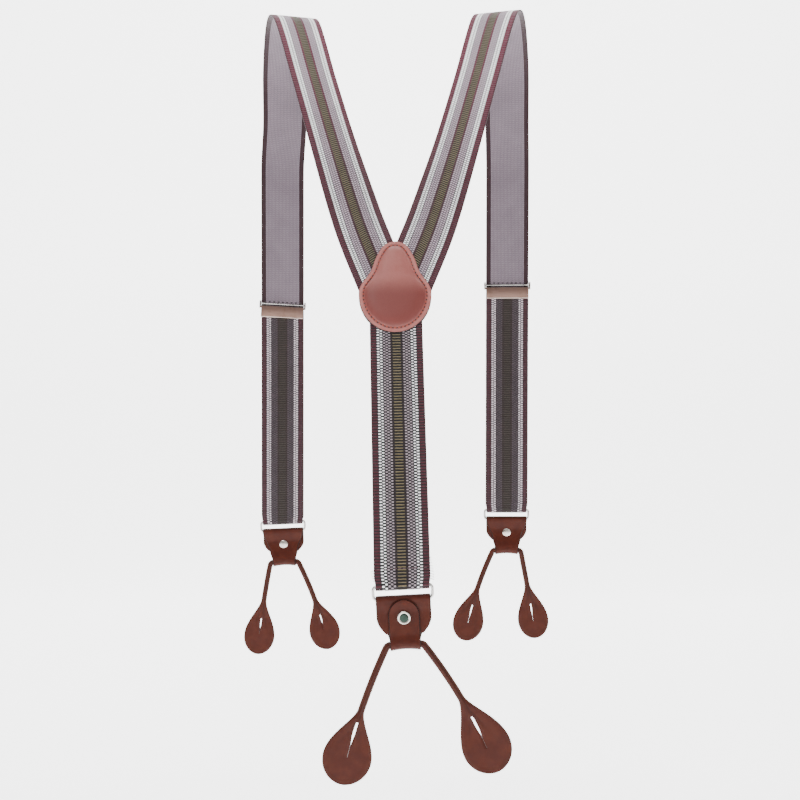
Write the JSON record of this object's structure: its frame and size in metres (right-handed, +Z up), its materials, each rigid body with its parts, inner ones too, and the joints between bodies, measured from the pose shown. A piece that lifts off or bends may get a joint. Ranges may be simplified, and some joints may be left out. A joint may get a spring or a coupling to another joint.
{
  "type": "suspenders",
  "caption": "Y-back button suspenders of striped webbing with a leather yoke, slide adjusters with levers, and rolled leather ends cut with buttonholes.",
  "frame": {"origin": "midway between the two shoulder straps, level with the crown of the right one, where the shoulders carry the object", "axes": "+Z is up, +X is the wearer's right, and +Y is the wearer's front"},
  "size_m": [0.2562, 0.2602, 0.5242],
  "materials": {
    "webbing": "woven stripes, matte",
    "yoke_leather": "smooth, satin",
    "tab_leather": "grained, satin",
    "runner_leather": "rolled, satin",
    "nickel": "nickel plate, polished",
    "plate_metal": "warm taupe, satin"
  },
  "bodies": {
    "harness": {"yoke_front_patch": "yoke_leather", "yoke_back_patch": "yoke_leather", "back_strap_webbing": "webbing", "left_shoulder_webbing": "webbing", "right_shoulder_webbing": "webbing", "left_front_webbing": "webbing", "right_front_webbing": "webbing"},
    "left_strap_end": {"left_loop_webbing": "webbing", "left_return_webbing": "webbing"},
    "left_adjuster_body": {"left_adjuster_frame": "plate_metal", "left_anvil_bar": "nickel", "left_lever_pin": "nickel", "left_return_end_webbing": "webbing"},
    "left_lever_body": {"left_lever": "nickel"},
    "left_front_ring_body": {"left_front_ring": "nickel"},
    "left_front_tab_body": {"left_front_tab": "tab_leather", "left_front_rivet_cap": "nickel", "left_front_rivet_base": "nickel"},
    "left_front_runner_body": {"left_front_runner_cord": "runner_leather"},
    "left_front_outer_leg_body": {"left_front_outer_leg": "runner_leather"},
    "left_front_inner_leg_body": {"left_front_inner_leg": "runner_leather"},
    "right_strap_end": {"right_loop_webbing": "webbing", "right_return_webbing": "webbing"},
    "right_adjuster_body": {"right_adjuster_frame": "plate_metal", "right_anvil_bar": "nickel", "right_lever_pin": "nickel", "right_return_end_webbing": "webbing"},
    "right_lever_body": {"right_lever": "nickel"},
    "right_front_ring_body": {"right_front_ring": "nickel"},
    "right_front_tab_body": {"right_front_tab": "tab_leather", "right_front_rivet_cap": "nickel", "right_front_rivet_base": "nickel"},
    "right_front_runner_body": {"right_front_runner_cord": "runner_leather"},
    "right_front_inner_leg_body": {"right_front_inner_leg": "runner_leather"},
    "right_front_outer_leg_body": {"right_front_outer_leg": "runner_leather"},
    "back_ring_body": {"back_ring": "nickel"},
    "back_tab_body": {"back_tab": "tab_leather", "back_rivet_cap": "nickel", "back_rivet_base": "nickel"},
    "back_runner_body": {"back_runner_cord": "runner_leather"},
    "back_left_leg_body": {"back_left_leg": "runner_leather"},
    "back_right_leg_body": {"back_right_leg": "runner_leather"}
  },
  "joints": [
    {"name": "left_strap_length", "type": "slide", "parent": "harness", "child": "left_strap_end", "axis": [0.0086, -0.0951, 0.9954], "range_m": [-0.07, 0.04], "deforming": ["left_front_webbing"]},
    {"name": "left_adjuster_slide", "type": "slide", "parent": "left_strap_end", "child": "left_adjuster_body", "axis": [0.0086, -0.0951, 0.9954], "range_m": [-0.07, 0.04], "deforming": ["left_return_webbing"]},
    {"name": "left_lever_open", "type": "hinge", "parent": "left_adjuster_body", "child": "left_lever_body", "pos_m": [-0.09386, 0.1044, -0.20661], "axis": [0.9985, 0.0051, -0.0538], "range_deg": [0, 100]},
    {"name": "left_front_ring_swing", "type": "hinge", "parent": "left_strap_end", "child": "left_front_ring_body", "pos_m": [-0.09549, 0.11641, -0.388], "axis": [0.999, 0, 0.0436], "range_deg": [-75, 75]},
    {"name": "left_front_tab_swing", "type": "hinge", "parent": "left_front_ring_body", "child": "left_front_tab_body", "pos_m": [-0.09513, 0.11641, -0.39639], "axis": [0.999, 0, 0.0436], "range_deg": [-60, 60]},
    {"name": "left_front_runner_swing", "type": "hinge", "parent": "left_front_tab_body", "child": "left_front_runner_body", "pos_m": [-0.09399, 0.11641, -0.42237], "axis": [0.999, 0, 0.0436], "range_deg": [-45, 45]},
    {"name": "left_front_outer_leg_flex", "type": "hinge", "parent": "left_front_runner_body", "child": "left_front_outer_leg_body", "pos_m": [-0.10651, 0.11641, -0.42682], "axis": [0, 1, 0], "range_deg": [-12, 30], "stiffness_Nm_per_rad": 0.05},
    {"name": "left_front_inner_leg_flex", "type": "hinge", "parent": "left_front_runner_body", "child": "left_front_inner_leg_body", "pos_m": [-0.08105, 0.11641, -0.42509], "axis": [0, 1, 0], "range_deg": [-30, 12], "stiffness_Nm_per_rad": 0.05},
    {"name": "right_strap_length", "type": "slide", "parent": "harness", "child": "right_strap_end", "axis": [-0.005, -0.095, 0.9955], "range_m": [-0.07, 0.04], "deforming": ["right_front_webbing"]},
    {"name": "right_adjuster_slide", "type": "slide", "parent": "right_strap_end", "child": "right_adjuster_body", "axis": [-0.005, -0.095, 0.9955], "range_m": [-0.07, 0.04], "deforming": ["right_return_webbing"]},
    {"name": "right_lever_open", "type": "hinge", "parent": "right_adjuster_body", "child": "right_lever_body", "pos_m": [0.09196, 0.10287, -0.1907], "axis": [1, -0.0005, 0.005], "range_deg": [0, 100]},
    {"name": "right_front_ring_swing", "type": "hinge", "parent": "right_strap_end", "child": "right_front_ring_body", "pos_m": [0.0929, 0.11541, -0.3779], "axis": [1, 0, 0], "range_deg": [-75, 75]},
    {"name": "right_front_tab_swing", "type": "hinge", "parent": "right_front_ring_body", "child": "right_front_tab_body", "pos_m": [0.0929, 0.11541, -0.3863], "axis": [1, 0, 0], "range_deg": [-60, 60]},
    {"name": "right_front_runner_swing", "type": "hinge", "parent": "right_front_tab_body", "child": "right_front_runner_body", "pos_m": [0.0929, 0.11541, -0.4123], "axis": [1, 0, 0], "range_deg": [-45, 45]},
    {"name": "right_front_inner_leg_flex", "type": "hinge", "parent": "right_front_runner_body", "child": "right_front_inner_leg_body", "pos_m": [0.08008, 0.11541, -0.41553], "axis": [0, 1, 0], "range_deg": [-12, 30], "stiffness_Nm_per_rad": 0.05},
    {"name": "right_front_outer_leg_flex", "type": "hinge", "parent": "right_front_runner_body", "child": "right_front_outer_leg_body", "pos_m": [0.10556, 0.11541, -0.41635], "axis": [0, 1, 0], "range_deg": [-30, 12], "stiffness_Nm_per_rad": 0.05},
    {"name": "back_ring_swing", "type": "hinge", "parent": "harness", "child": "back_ring_body", "pos_m": [0.00477, -0.13487, -0.40023], "axis": [0.9986, 0, 0.0523], "range_deg": [-75, 50]},
    {"name": "back_tab_swing", "type": "hinge", "parent": "back_ring_body", "child": "back_tab_body", "pos_m": [0.00521, -0.13487, -0.40861], "axis": [0.9986, 0, 0.0523], "range_deg": [-60, 50]},
    {"name": "back_runner_swing", "type": "hinge", "parent": "back_tab_body", "child": "back_runner_body", "pos_m": [0.00669, -0.13487, -0.43678], "axis": [0.9986, 0, 0.0523], "range_deg": [-45, 40]},
    {"name": "back_left_leg_flex", "type": "hinge", "parent": "back_runner_body", "child": "back_left_leg_body", "pos_m": [-0.00596, -0.13487, -0.44052], "axis": [0, 1, 0], "range_deg": [-12, 30], "stiffness_Nm_per_rad": 0.05},
    {"name": "back_right_leg_flex", "type": "hinge", "parent": "back_runner_body", "child": "back_right_leg_body", "pos_m": [0.01961, -0.13487, -0.43873], "axis": [0, 1, 0], "range_deg": [-30, 12], "stiffness_Nm_per_rad": 0.05}
  ],
  "couplings": [
    {"joint": "left_adjuster_slide", "follows": "left_strap_length", "ratio": 1},
    {"joint": "right_adjuster_slide", "follows": "right_strap_length", "ratio": 1}
  ]
}
